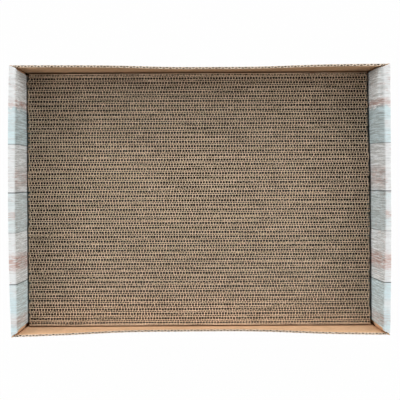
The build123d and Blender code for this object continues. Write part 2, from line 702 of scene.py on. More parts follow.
@dataclass(frozen=True)
class KraftLiner:
    """Raw brown kraft paper, with its fibres and the faint washboard of the flutes under it."""

    name: str = "kraft_liner"
    dark: Colour = (0.60, 0.375, 0.218)
    light: Colour = (0.77, 0.487, 0.292)
    speck: Colour = (0.30, 0.19, 0.11)
    clouds: Grain = Grain((60.0, 60.0, 60.0), 5.0, 0.6)
    cloud_share: float = 0.55
    fibres: Grain = Grain((1400.0, 420.0, 420.0), 3.0, 0.6)
    tones: Span = (0.3, 0.7)
    specks: Grain = Grain((900.0, 900.0, 900.0), 2.0, 0.5, 0.66, 0.74)
    speck_share: float = 0.5
    fibre_height: float = 0.06 * MM
    flute_height: float = 0.08 * MM
    rough: float = 0.85
    gloss: float = 0.2

    def build(self) -> bpy.types.Material:
        """Makes the material.

        Returns:
            The material.
        """
        sheet = NodeSheet(self.name)
        place = sheet.object_place()
        along, _ = sheet.print_place()
        fibres = sheet.noise(place, self.fibres)
        tone = sheet.blend(sheet.noise(place, self.clouds), fibres, self.cloud_share)
        colour = sheet.mix(sheet.between(tone, *self.tones), self.dark, self.light)
        specks = sheet.mask(place, self.specks)
        colour = sheet.mix(sheet.times(specks, self.speck_share), colour, self.speck)
        normal = sheet.bump(fibres, self.fibre_height, sheet.washboard(along, self.flute_height))
        return sheet.matt(colour, self.rough, normal, self.gloss)


@dataclass(frozen=True)
class FlutePaper:
    """Paper of the pad's strips: kraft on the pad's own sides, and painted shade in its flutes that darkens
    with the depth below the cut top.

    Attributes:
        low: Low corner of the whole pad.
        high: High corner of the whole pad.
        shade_depth: Depth below the cut top at which the painted shade in the flutes is darkest.
        side_depth: Depth behind the long sides at which the kraft ends.
        side_start: Share of that depth at which it starts to end.
        end_share: The same depth over the depth behind the pad's ends.
        side_shade: How bright the kraft's darker fibres are.
    """

    low: Triple
    high: Triple
    shade_depth: float = 0.5 * MM
    side_depth: float = 0.3 * MM
    side_start: float = 0.2
    end_share: float = 0.17
    side_shade: float = 0.8
    kraft: Colour = (0.56, 0.375, 0.235)
    # light and dark: painted shade of the flute paper, from just below the cut top down to deep in the
    # flutes.
    light: Colour = (0.06, 0.045, 0.032)
    dark: Colour = (0.008, 0.006, 0.005)
    fibres: Grain = Grain((1100.0, 1100.0, 1100.0), 3.0, 0.6)
    fibre_share: float = 0.4
    fibre_height: float = 0.08 * MM
    rough: float = 0.92
    gloss: float = 0.1

    def build(self) -> bpy.types.Material:
        """Makes the material.

        Returns:
            The material.
        """
        sheet = NodeSheet("pad_flute_paper_painted_shade")
        place = sheet.object_place()
        fibres = sheet.noise(place, self.fibres)
        depths = []
        for part, low, high in zip(sheet.parts(place), self.low, self.high):
            above = sheet.math("SUBTRACT", part, low)
            below = sheet.math("SUBTRACT", high, part)
            depths.append(sheet.math("MINIMUM", above, below))
        along, across, deep = depths
        # Painted shade: the flute paper goes from dim to near black with the depth below the cut top.
        colour = sheet.mix(sheet.between(deep, 0.0, self.shade_depth), self.light, self.dark)
        colour = sheet.mix(sheet.times(fibres, self.fibre_share), colour, self.dark)
        side = sheet.math("MINIMUM", sheet.times(along, self.end_share), across)
        sides = sheet.mix(fibres, self.kraft, tuple(self.side_shade * part for part in self.kraft))
        inside = sheet.between(side, self.side_start * self.side_depth, self.side_depth)
        colour = sheet.mix(inside, sides, colour)
        return sheet.matt(colour, self.rough, sheet.bump(fibres, self.fibre_height), self.gloss)


@dataclass(frozen=True)
class CutPaper:
    """Cut or torn edges of board: pale broken fibres over darker paper."""

    name: str
    dark: Colour
    light: Colour
    patches: Grain = Grain((90.0, 198.0, 90.0), 3.0, 0.6)
    fibres: Grain = Grain((1500.0, 1500.0, 1500.0), 3.0, 0.7)
    tones: Span = (0.34, 0.66)
    fibre_height: float = 0.02 * MM
    rough: float = 0.92
    gloss: float = 0.1

    def build(self) -> bpy.types.Material:
        """Makes the material.

        Returns:
            The material.
        """
        sheet = NodeSheet(self.name)
        place = sheet.object_place()
        fibres = sheet.noise(place, self.fibres)
        tone = sheet.blend(sheet.noise(place, self.patches), fibres)
        colour = sheet.mix(sheet.between(tone, *self.tones), self.dark, self.light)
        return sheet.matt(colour, self.rough, sheet.bump(fibres, self.fibre_height), self.gloss)


@dataclass(frozen=True)
class TraySizes:
    """Sizes of the folded tray and its pad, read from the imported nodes."""

    half_length: float
    half_width: float
    board: float
    rim_top: float
    wall_top: float
    flap_face: float
    flap_foot: float
    flap_front: float
    flap_back: float
    tab_outer: float
    tab_length: float
    tab_low: float
    tab_high: float
    rim_inner_half: float
    pad_top: float

    @classmethod
    def from_frame(cls) -> "TraySizes":
        """Reads the sizes.

        Returns:
            The sizes.
        """
        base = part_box("tray_base")[1]
        flap_low, flap_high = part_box("right_inner_flap")
        tab_low, tab_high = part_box("back_right_tab")
        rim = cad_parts["right_rim"].data.vertices
        return cls(
            half_length=base.x,
            half_width=base.y,
            board=base.z,
            rim_top=flap_high.z,
            wall_top=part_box("back_wall")[1].z,
            flap_face=flap_low.x,
            flap_foot=base.z,
            flap_front=flap_low.y,
            flap_back=flap_high.y,
            tab_outer=tab_high.x,
            tab_length=tab_high.y - tab_low.y,
            tab_low=tab_low.z,
            tab_high=tab_high.z,
            rim_inner_half=max(point.co.y for point in rim if point.co.x < flap_low.x + SAME_PLACE),
            pad_top=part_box("pad_strips_01")[1].z,
        )


@dataclass(frozen=True)
class WallBow:
    """How far a long wall's raw edge stands in from upright, at its ends and round its bow."""

    left_lean: float
    right_lean: float
    bow: float
    centre: float
    reach: float
    half_span: float = 220 * MM
    flatness: int = 4

    def shift(self, x: Array) -> Array:
        """Inward shift of the raw edge along the wall."""
        lean = self.left_lean + (self.right_lean - self.left_lean) * rise(x, -self.half_span, self.half_span)
        return lean + self.bow / (1 + ((x - self.centre) / self.reach) ** self.flatness)


@dataclass(frozen=True)
class EndBow:
    """How a double end stands away from upright.

    Attributes:
        middle_push: How far the outer wall's top is pushed out at its middle.
        front_pull: How much less that is at the front corner.
        back_pull: How much less it is at the back corner.
        flap_lean: How far the flap's top leans out.
        shoulder: How much further it leans out at the back, above the shoulder.
        flap_bow: How far the flap's top bows out at its middle.
        tuck: How far the flap's back half is tucked in under the shoulder.
        outer_power: How the outer wall's push grows with the height.
        hip_share: Share of the height above which the flap leans.
        shoulder_share: Share of the height at which its shoulder starts.
        foot_share: Share of the height at which the tuck is full.
        belly: Share of the tuck that is lost again up to the shoulder.
        back_shares: Shares across the tray between which the flap's back half starts.
    """

    middle_push: float
    front_pull: float
    back_pull: float
    flap_lean: float
    shoulder: float
    flap_bow: float
    tuck: float
    outer_power: float = 1.3
    hip_share: float = 0.5
    shoulder_share: float = 0.92
    foot_share: float = 0.35
    belly: float = 0.5
    back_shares: Span = (0.15, 0.70)

    def outer(self, y_share: Array, up: Array) -> Array:
        """Outward shift of the outer wall, by place across the tray and share of the height."""
        pull = np.where(y_share > 0, self.back_pull, self.front_pull)
        return (self.middle_push - pull * y_share**2) * up**self.outer_power

    def flap(self, y_share: Array, up: Array) -> Array:
        """Outward shift of the flap: bowed at its middle, with a shoulder over a tucked foot at the back.

        Args:
            y_share: Places across the tray, from -1 to 1.
            up: Shares of the height.

        Returns:
            The shift at each place.
        """
        leaning = rise(up, self.hip_share, 1.0)
        bent = rise(up, self.shoulder_share, 1.0)
        backwards = rise(y_share, *self.back_shares)
        lean = self.flap_lean * (1 - backwards) * leaning
        lean = lean + (self.flap_lean + self.shoulder) * backwards * bent
        bow = self.flap_bow * (1 - y_share**2) ** 2 * leaning
        kept = 1 - self.belly * rise(up, self.hip_share, self.shoulder_share)
        foot = rise(up, 0.0, self.foot_share) * kept * (1 - bent)
        return lean + bow - self.tuck * backwards * foot


@dataclass(frozen=True)
class TrayWarp:
    """Bends the straight folded tray as the real one stands: long walls bowed in, ends pushed out."""

    sizes: TraySizes
    front: WallBow = WallBow(0.2 * MM, 0.8 * MM, 6.3 * MM, -11 * MM, 143 * MM)
    back: WallBow = WallBow(1.5 * MM, 2.0 * MM, 3.2 * MM, 21 * MM, 100 * MM)
    left: EndBow = EndBow(0.9 * MM, 3.0 * MM, 1.9 * MM, 0.2 * MM, 0.0, 1.5 * MM, 0.0)
    right: EndBow = EndBow(2.3 * MM, 2.2 * MM, 0.2 * MM, 1.6 * MM, 1.8 * MM, 3.4 * MM, 2.2 * MM)
    bend_start: float = 42 * MM
    bend_limit: float = 1.1
    bend_power: float = 1.6
    fade: float = 45 * MM

    def apply(self, points: Array) -> Array:
        """Moves points of the straight tray.

        Args:
            points: Any array of points, last axis X, Y, Z.

        Returns:
            The moved points.
        """
        sizes = self.sizes
        x, y, z = points[..., 0], points[..., 1], points[..., 2]
        up = rise(z, 0.0, sizes.rim_top)
        y_share = np.clip(y / sizes.half_width, -1, 1)
        layer = rise(np.abs(x), sizes.flap_face, sizes.half_length)
        fade = rise(np.abs(x), sizes.flap_face - self.fade, sizes.flap_face) ** 2
        shift_x = np.zeros_like(x)
        for end, bow in ((End.LEFT, self.left), (End.RIGHT, self.right)):
            push = (1 - layer) * bow.flap(y_share, up) + layer * bow.outer(y_share, up)
            shift_x = shift_x + np.where(np.sign(x) == end.value, end.value * push * fade, 0.0)
        height = (z - self.bend_start) / (sizes.wall_top - self.bend_start)
        bend = np.clip(height, 0, self.bend_limit) ** self.bend_power
        pull = np.where(y > 0, self.back.shift(x), self.front.shift(x))
        return np.stack([x + shift_x, y - y_share * pull * bend, z], axis=-1)


@dataclass(frozen=True)
class FoldRun:
    """One straight run or quarter arc of a folded line.

    Attributes:
        begin: Where it begins along the line.
        point: Its first point.
        ahead: Direction in which it sets out.
        left: Direction to the left of that, into the board.
        heading: Angle of that direction.
        arc: Whether it is an arc.
    """

    begin: float
    point: Array
    ahead: Array
    left: Array
    heading: float
    arc: bool


class FoldPath:
    """Outer line of a board folded the same way at each corner, seen along the folds."""

    def __init__(self, legs: list[float], radius: float) -> None:
        """Lays out the straight runs and arcs, from the origin along the first axis.

        Args:
            legs: Lengths between the sharp corners. Each corner turns left by a right angle.
            radius: Outer radius of each fold.
        """
        self.radius = radius
        self.runs: list[FoldRun] = []
        self.folds: list[float] = []
        self.length = 0.0
        arc = radius * math.pi / 2
        point = np.zeros(2)
        for number, leg in enumerate(legs):
            heading = number * math.pi / 2
            ahead = np.array([math.cos(heading), math.sin(heading)])
            left = np.array([-ahead[1], ahead[0]])
            first, last = number == 0, number == len(legs) - 1
            run = leg - (0 if first else radius) - (0 if last else radius)
            self.runs.append(FoldRun(self.length, point, ahead, left, heading, False))
            self.length += run
            if not last:
                point = point + run * ahead
                self.runs.append(FoldRun(self.length, point, ahead, left, heading, True))
                self.folds.append(self.length + arc / 2)
                self.length += arc
                point = point + radius * (ahead + left)

    def offset(self, s: Array, depth: Array) -> tuple[Array, Array]:
        """Finds points in the board.

        Args:
            s: Places along the line.
            depth: Depths from the line into the board.

        Returns:
            First coordinates of the points, and second ones.
        """
        points = np.zeros((*s.shape, 2))
        for number, run in enumerate(self.runs):
            along = s - run.begin
            if run.arc:
                angle = run.heading + np.clip(along / self.radius, 0, math.pi / 2)
                inwards = np.stack([-np.sin(angle), np.cos(angle)], axis=-1)
                line = run.point + self.radius * (run.left - inwards)
            else:
                inwards = run.left
                line = run.point + along[..., None] * run.ahead
            here = line + depth[..., None] * inwards
            after = s >= run.begin if number else np.ones(s.shape, bool)
            points[after] = here[after]
        return points[..., 0], points[..., 1]

    def crease(self, s: Array, width: float) -> Array:
        """Finds how near places are to the folds.

        Args:
            s: Places along the line.
            width: How far a fold reaches to each side of its middle.

        Returns:
            1 on each fold, fading to 0 at that width.
        """
        near = np.zeros(np.shape(s))
        for fold in self.folds:
            near = np.maximum(near, np.clip(1 - np.abs(s - fold) / width, 0, 1))
        return near * near * (3 - 2 * near)


@dataclass(frozen=True)
class Board:
    """Single-wall corrugated board of the tray.

    Attributes:
        thickness: Thickness of the whole board.
        liner: Thickness of each liner.
        medium: Thickness of the fluted paper.
        crush: Share of the thickness that is lost on a fold.
        crease_width: How far a fold's crush reaches to each side.
        fold_radius: Outer radius of the folds.
        rim_radius: Outer radius of the folds of the rolled ends.
        burr: How much wider a liner is at its raw edge.
        medium_burr: How much wider the fluted paper is there, on its flanks.
        edge_press: Share of the thickness that is pressed flat at a raw edge.
        burr_depth: How far the burr reaches down.
        wear_power: How fast a raw edge's unevenness fades away from it.
        least_swing: Least height of half a flute, where the board is crushed.
        steps_per_flute: How many steps draw a flute.
        least_steps: How many steps draw a narrow panel.
    """

    thickness: float
    liner: float = 0.32 * MM
    medium: float = 0.32 * MM
    crush: float = 0.62
    crease_width: float = 5.0 * MM
    fold_radius: float = 2.4 * MM
    rim_radius: float = 1.15 * MM
    burr: float = 0.10 * MM
    medium_burr: float = 1.90 * MM
    edge_press: float = 0.14
    burr_depth: float = 1.2 * MM
    wear_power: int = 12
    least_swing: float = 0.05 * MM
    steps_per_flute: int = 8
    least_steps: int = 6

    def fine(self, start: float, end: float) -> Array:
        """Places across the flutes, close enough to draw each flute."""
        count = max(int(abs(end - start) / FLUTE_PITCH * self.steps_per_flute), self.least_steps)
        return np.linspace(start, end, count + 1)

    @staticmethod
    def coarse(start: float, end: float, step: float) -> Array:
        """Places at about a step apart."""
        return np.linspace(start, end, max(int(abs(end - start) / step), 1) + 1)

    def dense_ends(self, half: float, margin: float, steps: int, step: float) -> Array:
        """Places that lie closer together towards both ends.

        Args:
            half: Half the length; the places go from minus that to plus that.
            margin: Length of the closer stretch at each end.
            steps: How many steps that stretch has.
            step: Length of a step between the stretches.

        Returns:
            The places, in order.
        """
        inner = half - margin
        first = np.linspace(-half, -inner, steps + 1)
        middle = self.coarse(-inner, inner, step)
        last = np.linspace(inner, half, steps + 1)
        return np.concatenate([first[:-1], middle[:-1], last])


@dataclass
class PanelGrid:
    """A flat or folded stretch of board as a grid.

    Attributes:
        across: Places along the grid's first axis, which crosses the flutes.
        along: Places along its second axis, which follows them.
        place: Gives points from both places and the depth into the board.
        prints: Gives the places on the printed blank.
        crush: Gives how much the board is crushed, from 0 to 1.
        outer: What the outside shows.
        inner: What the inside shows.
        kept: Tells which cells are there; all of them if left out.
        edge_wear: Gives the change of height along a raw edge for a layer, where there is such an edge.
    """

    across: Array
    along: Array
    place: Callable[[Array, Array, Array], Array]
    prints: OnGrid
    crush: OnGrid
    outer: Face = Face.PRINT
    inner: Face = Face.KRAFT
    kept: Optional[OnGrid] = None
    edge_wear: Optional[Callable[[Array, Layer], Array]] = None


@dataclass(frozen=True)
class BoardBuilder:
    """Builds corrugated panels as three paper layers: outer liner, fluted medium and inner liner."""

    board: Board
    warp: TrayWarp

    def grid(self, panel: PanelGrid, across: Array, layer: Layer) -> tuple[Array, Array]:
        """Lays out a panel's grid, with its raw edge worn.

        Args:
            panel: The panel.
            across: Places across the flutes.
            layer: Which paper layer.

        Returns:
            Places across and along, both as full grids.
        """
        a, b = np.meshgrid(across, panel.along, indexing="ij")
        if panel.edge_wear is not None:
            share = (panel.along - panel.along[0]) / (panel.along[-1] - panel.along[0])
            b = b + panel.edge_wear(across, layer)[:, None] * share[None, :] ** self.board.wear_power
        return a, b

    def depths(self, layer: Layer, a: Array, thickness: Array, burr: Array) -> tuple[Array, Array]:
        """Finds where a paper layer lies in the board.

        Args:
            layer: Which paper layer.
            a: Places across the flutes.
            thickness: The board's thickness at each place.
            burr: 1 on a raw edge, 0 elsewhere.

        Returns:
            Depths of the layer's front and of its back.
        """
        board = self.board
        if layer is Layer.MEDIUM:
            turn = 2 * math.pi * a / FLUTE_PITCH
            swing = np.maximum(thickness / 2 - board.liner - board.medium / 2, board.least_swing)
            middle = thickness / 2 + swing * np.sin(turn)
            half = (board.medium + board.medium_burr * burr * np.cos(turn) ** 2) / 2
            return middle - half, middle + half
        liner = board.liner + board.burr * burr
        if layer is Layer.OUTER:
            return np.zeros_like(a), liner
        return thickness, thickness - liner

    def add(self, draft: MeshDraft, panel: PanelGrid) -> None:
        """Adds a panel's three layers to a piece.

        Args:
            draft: The piece's mesh so far.
            panel: The panel.
        """
        board = self.board
        fine = board.fine(panel.across[0], panel.across[-1])
        # The medium and the liners' backs inside the board take the painted-shade flute finish.
        fronts = {Layer.OUTER: panel.outer, Layer.MEDIUM: Face.FLUTE, Layer.INNER: panel.inner}
        for layer in Layer:
            a, b = self.grid(panel, fine if layer is Layer.MEDIUM else panel.across, layer)
            burr = np.zeros_like(a)
            if panel.edge_wear is not None:
                burr[:, -1] = 1.0
            thickness = board.thickness * (1 - board.crush * panel.crush(a, b))
            thickness = thickness * (1 - board.edge_press * burr)
            front, back = self.depths(layer, a, thickness, burr)
            draft.add_sheet(
                self.warp.apply(panel.place(a, b, front)),
                self.warp.apply(panel.place(a, b, back)),
                panel.prints(a, b),
                SheetDress(fronts[layer], Face.FLUTE),
                panel.kept(cell_middles(a), cell_middles(b)) if panel.kept is not None else None,
            )


@dataclass(frozen=True)
class Tear:
    """A chipped spot on a raw edge: where it is along the wall, how wide, how deep and in which layer."""

    place: float
    width: float
    depth: float
    layer: Layer


@dataclass(frozen=True)
class FlapCut:
    """Slants of a flap's front and back edges, from its fold to the pad, and its gap to the back wall."""

    front: float
    back: float
    gap: float


@dataclass(frozen=True)
class TrayMesh:
    """How finely the tray's panels are drawn: margins with closer steps, steps, and counts of places."""

    base_step: float = 16 * MM
    base_end_margin: float = 30 * MM
    base_end_steps: int = 20
    base_side_margin: float = 8 * MM
    base_side_steps: int = 6
    slot_gap: float = 0.4 * MM
    roll_step: float = 3.0 * MM
    rim_step: float = 1.6 * MM
    rim_length: float = 30 * MM
    fold_step: float = 0.6 * MM
    fold_steps: int = 6
    roll_places: int = 29
    lock_places: int = 9
    wall_step: float = 2.5 * MM
    wall_margin: float = 6 * MM
    wall_margin_steps: int = 6
    wall_foot: float = 7 * MM
    wall_foot_places: int = 9
    wall_places: int = 15
    corner_step: float = 0.5 * MM
    corner_length: float = 10 * MM
    tab_step: float = 2.5 * MM
    tab_bend: float = 4 * MM
    tab_bend_places: int = 8
    corner_places: int = 12
    edge_spots: int = 600


@dataclass
class Tray:
    """The folded tray, panel by panel.

    Attributes:
        sizes: The tray's sizes.
        rim_cut: How far the rims end before the front corners.
        rim_cut_share: Share of the rim's width in which that cut is reached.
        flap_step: Length below a rim's fold in which the flap narrows to its own width.
        left_cut: Slants of the left flap.
        right_cut: Slants of the right flap.
        slot_clearance: Clearance of the lock tabs in their slots, and over the floor.
        edge_noise: How uneven the raw edges are.
        edge_spread: How many spots of a raw edge that unevenness is smoothed over.
        front_tears: Chipped spots of the front wall.
        back_tears: Chipped spots of the back wall.
        finishes: What the faces of the board are made of, in the order of Face; the flute faces are painted
            shade.
        mesh: How finely the panels are drawn.
        seed: Seed of the raw edges' unevenness.
    """

    sizes: TraySizes
    rim_cut: float = 1.8 * MM
    rim_cut_share: float = 0.25
    flap_step: float = 6 * MM
    left_cut: FlapCut = FlapCut(1.6 * MM, 1.2 * MM, 2.2 * MM)
    right_cut: FlapCut = FlapCut(2.2 * MM, 1.0 * MM, 1.0 * MM)
    slot_clearance: float = 0.3 * MM
    edge_noise: float = 0.25 * MM
    edge_spread: float = 2.0
    front_tears: tuple[Tear, ...] = (
        Tear(-184 * MM, 14 * MM, 1.5 * MM, Layer.OUTER),
        Tear(-30 * MM, 9 * MM, 1.0 * MM, Layer.OUTER),
        Tear(90 * MM, 6 * MM, 0.8 * MM, Layer.INNER),
    )
    back_tears: tuple[Tear, ...] = (
        Tear(-177 * MM, 5 * MM, 1.6 * MM, Layer.INNER),
        Tear(176 * MM, 7 * MM, 1.8 * MM, Layer.INNER),
        Tear(120 * MM, 4 * MM, 0.9 * MM, Layer.OUTER),
    )
    finishes: tuple[PrintedPlanks, KraftLiner, CutPaper, KraftLiner] = (
        PrintedPlanks(),
        KraftLiner(),
        CutPaper("tray_cut_edge", (0.66, 0.50, 0.36), (0.92, 0.78, 0.64)),
        # Painted shade: the flute paper inside the tray's board, kraft painted near black.
        KraftLiner("tray_flutes_painted_shade", (0.05, 0.034, 0.022), (0.09, 0.06, 0.04)),
    )
    mesh: TrayMesh = TrayMesh()
    seed: int = 41

    def __post_init__(self) -> None:
        """Prepares the board, the fold lines, the finishes and the seeded source of unevenness."""
        sizes = self.sizes
        self.board = Board(sizes.board)
        self.builder = BoardBuilder(self.board, TrayWarp(sizes))
        rim_width = sizes.half_length - sizes.flap_face
        flap_height = sizes.rim_top - sizes.flap_foot
        roll_legs = [sizes.half_length, sizes.rim_top, rim_width, flap_height]
        self.roll = FoldPath(roll_legs, self.board.rim_radius)
        self.side = FoldPath([sizes.half_width, sizes.wall_top], self.board.fold_radius)
        self.corner = FoldPath([sizes.tab_outer, sizes.tab_length], self.board.fold_radius)
        self.materials = [finish.build() for finish in self.finishes]
        self.rng = np.random.default_rng(self.seed)

    def make_piece(self, draft: MeshDraft, name: str) -> None:
        """Makes a panel's piece, rides it on the tray and lets it stand for its node.

        Args:
            draft: The piece's mesh.
            name: Name of the CAD node it stands for.
        """
        piece = draft.to_object(f"{name}_board", self.materials)
        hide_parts(name)
        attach(piece, "tray")
        log.info("%s: %d faces", piece.name, len(piece.data.polygons))

    def with_lines(self, places: Array, lines: Span) -> Array:
        """Adds lines to a grid's places at both of its ends, and leaves out what is near them.

        Args:
            places: The places so far, in order.
            lines: Places that have to be lines of the grid, and so have their mirror images.

        Returns:
            The joined places, in order.
        """
        both = [sign * line for sign in (-1, 1) for line in lines]
        far = [place for place in places if min(abs(place - line) for line in both) > self.mesh.slot_gap]
        return np.array(sorted(far + both))

    def slot_spans(self) -> tuple[Span, Span]:
        """Finds the back right lock slot from the CAD flap's lock tabs.

        Returns:
            Its span in X and its span in Y.
        """
        sizes, clearance = self.sizes, self.slot_clearance
        points = [vertex.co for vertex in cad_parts["right_inner_flap"].data.vertices]
        tab = [point.y for point in points if point.z < sizes.flap_foot - SAME_PLACE and point.y > 0]
        x_span = (sizes.flap_face - clearance, sizes.flap_face + sizes.board + clearance)
        return x_span, (min(tab) - clearance, max(tab) + clearance)

    def build_base(self) -> None:
        """Builds the base with its lock slots, up to the middle of the folds round it."""
        board, mesh = self.board, self.mesh
        x_span, y_span = self.slot_spans()
        ends = (mesh.base_end_margin, mesh.base_end_steps, mesh.base_step)
        sides = (mesh.base_side_margin, mesh.base_side_steps, mesh.base_step)
        across = board.dense_ends(self.roll.folds[0], *ends)
        along = board.dense_ends(self.side.folds[0], *sides)

        def place(a: Array, b: Array, depth: Array) -> Array:
            """Rounds the base up at all four edges.

            Args:
                a: Places along the tray.
                b: Places across it.
                depth: Depths into the board.

            Returns:
                The points.
            """
            x, end_z = self.roll.offset(np.abs(a), depth)
            y, side_z = self.side.offset(np.abs(b), depth)
            return np.stack([np.sign(a) * x, np.sign(b) * y, end_z + side_z - depth], axis=-1)

        def kept(a: Array, b: Array) -> Array:
            """True off the lock slots."""
            x, y = np.abs(a), np.abs(b)
            return ~((x > x_span[0]) & (x < x_span[1]) & (y > y_span[0]) & (y < y_span[1]))

        def crush(a: Array, b: Array) -> Array:
            """Crushed along the folds."""
            width = board.crease_width
            return np.maximum(self.roll.crease(np.abs(a), width), self.side.crease(np.abs(b), width))

        draft = MeshDraft()
        grid = PanelGrid(
            self.with_lines(across, x_span),
            self.with_lines(along, y_span),
            place,
            lambda a, b: np.stack([a, b], -1),
            crush,
            outer=Face.KRAFT,
            kept=kept,
        )
        self.builder.add(draft, grid)
        self.make_piece(draft, "tray_base")

    def roll_limits(self, s: Array, end: End) -> tuple[Array, Array]:
        """Finds the front and back limits of an end's board at places along its roll.

        Args:
            s: Places along the roll.
            end: Which end.

        Returns:
            Y of the front edge and of the back edge.
        """
        sizes = self.sizes
        cut = self.left_cut if end is End.LEFT else self.right_cut
        _, rim_start, flap_start = self.roll.folds
        rim_share = rise(s, rim_start, flap_start)
        flap_share = rise(s, flap_start, flap_start + self.flap_step)
        slant = rise(s, flap_start, flap_start + sizes.rim_top - sizes.pad_top)
        rim_half = sizes.half_width + (sizes.rim_inner_half - sizes.half_width) * rim_share
        front = -rim_half + (sizes.flap_front + sizes.rim_inner_half) * flap_share
        front = front + self.rim_cut * rise(rim_share, 0.0, self.rim_cut_share) + cut.front * slant
        back = rim_half + (sizes.flap_back - cut.gap - sizes.rim_inner_half) * flap_share - cut.back * slant
        return front, back

    def add_roll(self, draft: MeshDraft, end: End, start: float, stop: float) -> None:
        """Adds a stretch of an end's roll: outer wall, rim or flap.

        Args:
            draft: The piece's mesh so far.
            end: Which end.
            start: Where the stretch starts along the roll.
            stop: Where it stops.
        """
        mesh = self.mesh
        step = mesh.rim_step if stop - start < mesh.rim_length else mesh.roll_step
        across = set(self.board.coarse(start, stop, step).tolist())
        for fold in (start, stop):
            if fold in self.roll.folds:
                near = [fold + side * k * mesh.fold_step for side in (-1, 1) for k in range(mesh.fold_steps)]
                across.update(s for s in near if start < s < stop)

        def tray_y(a: Array, b: Array) -> Array:
            """Y of places on the roll: b runs from the front edge to the back edge."""
            front, back = self.roll_limits(a, end)
            return front + (back - front) * b

        def place(a: Array, b: Array, depth: Array) -> Array:
            """Points on the roll."""
            x, z = self.roll.offset(a, depth)
            return np.stack([end.value * x, tray_y(a, b), z], axis=-1)

        grid = PanelGrid(
            np.array(sorted(across)),
            np.linspace(0, 1, mesh.roll_places),
            place,
            lambda a, b: np.stack([end.value * a, tray_y(a, b)], axis=-1),
            lambda a, b: self.roll.crease(a, self.board.crease_width),
        )
        self.builder.add(draft, grid)

    def add_lock_tabs(self, draft: MeshDraft, end: End) -> None:
        """Adds the crushed lock tabs under a flap.

        Args:
            draft: The flap's mesh so far.
            end: Which end.
        """
        sizes, clearance = self.sizes, self.slot_clearance
        _, (near, far) = self.slot_spans()
        levels = np.array([clearance, sizes.flap_foot])
        for side in (-1, 1):
            places = side * np.linspace(near + clearance, far - clearance, self.mesh.lock_places)
            y, z = np.meshgrid(places, levels, indexing="ij")
            face = np.stack([np.full_like(y, end.value * sizes.flap_face), y, z], axis=-1)
            rear = face + np.array([end.value * sizes.board, 0, 0])
            draft.add_sheet(face, rear, np.stack([z, y], axis=-1), SheetDress(Face.PRINT, Face.KRAFT))

    def build_end(self, end: End) -> None:
        """Builds the outer wall, rim and flap of one end.

        Args:
            end: Which end.
        """
        name = end.name.lower()
        stops = (*self.roll.folds, self.roll.length)
        for panel, start, stop in zip(("end_wall", "rim", "inner_flap"), stops, stops[1:]):
            draft = MeshDraft()
            self.add_roll(draft, end, start, stop)
            if panel == "inner_flap":
                self.add_lock_tabs(draft, end)
            self.make_piece(draft, f"{name}_{panel}")

    def edge_wear(self, tears: tuple[Tear, ...]) -> Callable[[Array, Layer], Array]:
        """Draws the uneven cut along a raw edge, with its chipped spots.

        Args:
            tears: The chipped spots.

        Returns:
            A function that gives the change of height along the edge for a layer.
        """
        count = self.mesh.edge_spots
        offsets = {}
        for layer in Layer:
            offsets[layer] = self.edge_noise * smooth_noise(self.rng, count, self.edge_spread)
        spots = np.linspace(-self.sizes.half_length, self.sizes.half_length, count)

        def wear(a: Array, layer: Layer) -> Array:
            """Finds the change of height.

            Args:
                a: Places along the edge.
                layer: Which paper layer.

            Returns:
                The change at each place.
            """
            height = np.interp(a, spots, offsets[layer])
            for tear in tears:
                if tear.layer is layer:
                    inside = np.clip(1 - np.abs(a - tear.place) / tear.width, 0, 1)
                    height = height - tear.depth * np.sqrt(inside)
            return height

        return wear

    def build_long_wall(self, side: Long, tears: tuple[Tear, ...]) -> None:
        """Builds one long wall and the tabs at its ends.

        Args:
            side: Which side.
            tears: Chipped spots of its raw edge.
        """
        sizes, board, mesh = self.sizes, self.board, self.mesh
        name = side.name.lower()
        straight = sizes.tab_outer - board.fold_radius
        fold, top = self.side.folds[0], self.side.length
        foot = np.linspace(0, mesh.wall_foot, mesh.wall_foot_places)[:-1]
        upper = np.linspace(fold + mesh.wall_foot, top - board.burr_depth, mesh.wall_places)

        def place(a: Array, b: Array, depth: Array) -> Array:
            """Points on the wall: a along it, b up from the fold with the base."""
            y, z = self.side.offset(b, depth)
            return np.stack([a, side.value * y, z], axis=-1)

        def crush(a: Array, b: Array) -> Array:
            """Crushed along the fold with the base and towards the corner folds."""
            width = board.crease_width
            return np.maximum(self.side.crease(b, width), self.corner.crease(np.abs(a), width))

        draft = MeshDraft()
        grid = PanelGrid(
            board.dense_ends(straight, mesh.wall_margin, mesh.wall_margin_steps, mesh.wall_step),
            np.concatenate([fold + foot, upper, [top]]),
            place,
            lambda a, b: np.stack([a, side.value * b], axis=-1),
            crush,
            edge_wear=self.edge_wear(tears),
        )
        self.builder.add(draft, grid)
        bend_middle = self.corner.folds[0]
        for end in End:
            self.add_corner(draft, side, end, (straight, bend_middle), sizes.wall_top)
        self.make_piece(draft, f"{name}_wall")
        for end in End:
            tab = MeshDraft()
            self.add_corner(tab, side, end, (bend_middle, self.corner.length), sizes.tab_high)
            self.make_piece(tab, f"{name}_{end.name.lower()}_tab")

    def add_corner(self, draft: MeshDraft, side: Long, end: End, span: Span, top: float) -> None:
        """Adds a stretch of board round a tray corner, with its flutes upright.

        Args:
            draft: The piece's mesh so far.
            side: Long side that the board comes from.
            end: End that it folds into.
            span: Where it starts and stops along the corner's line.
            top: Height of its cut edge.
        """
        sizes, board, mesh = self.sizes, self.board, self.mesh
        if span[1] - span[0] < mesh.corner_length:
            across = board.coarse(*span, mesh.corner_step)
        else:
            across = board.coarse(*span, mesh.tab_step)
            bend = span[0] + np.linspace(0, mesh.tab_bend, mesh.tab_bend_places)
            across = np.concatenate([bend, across[across > bend[-1] + mesh.corner_step]])

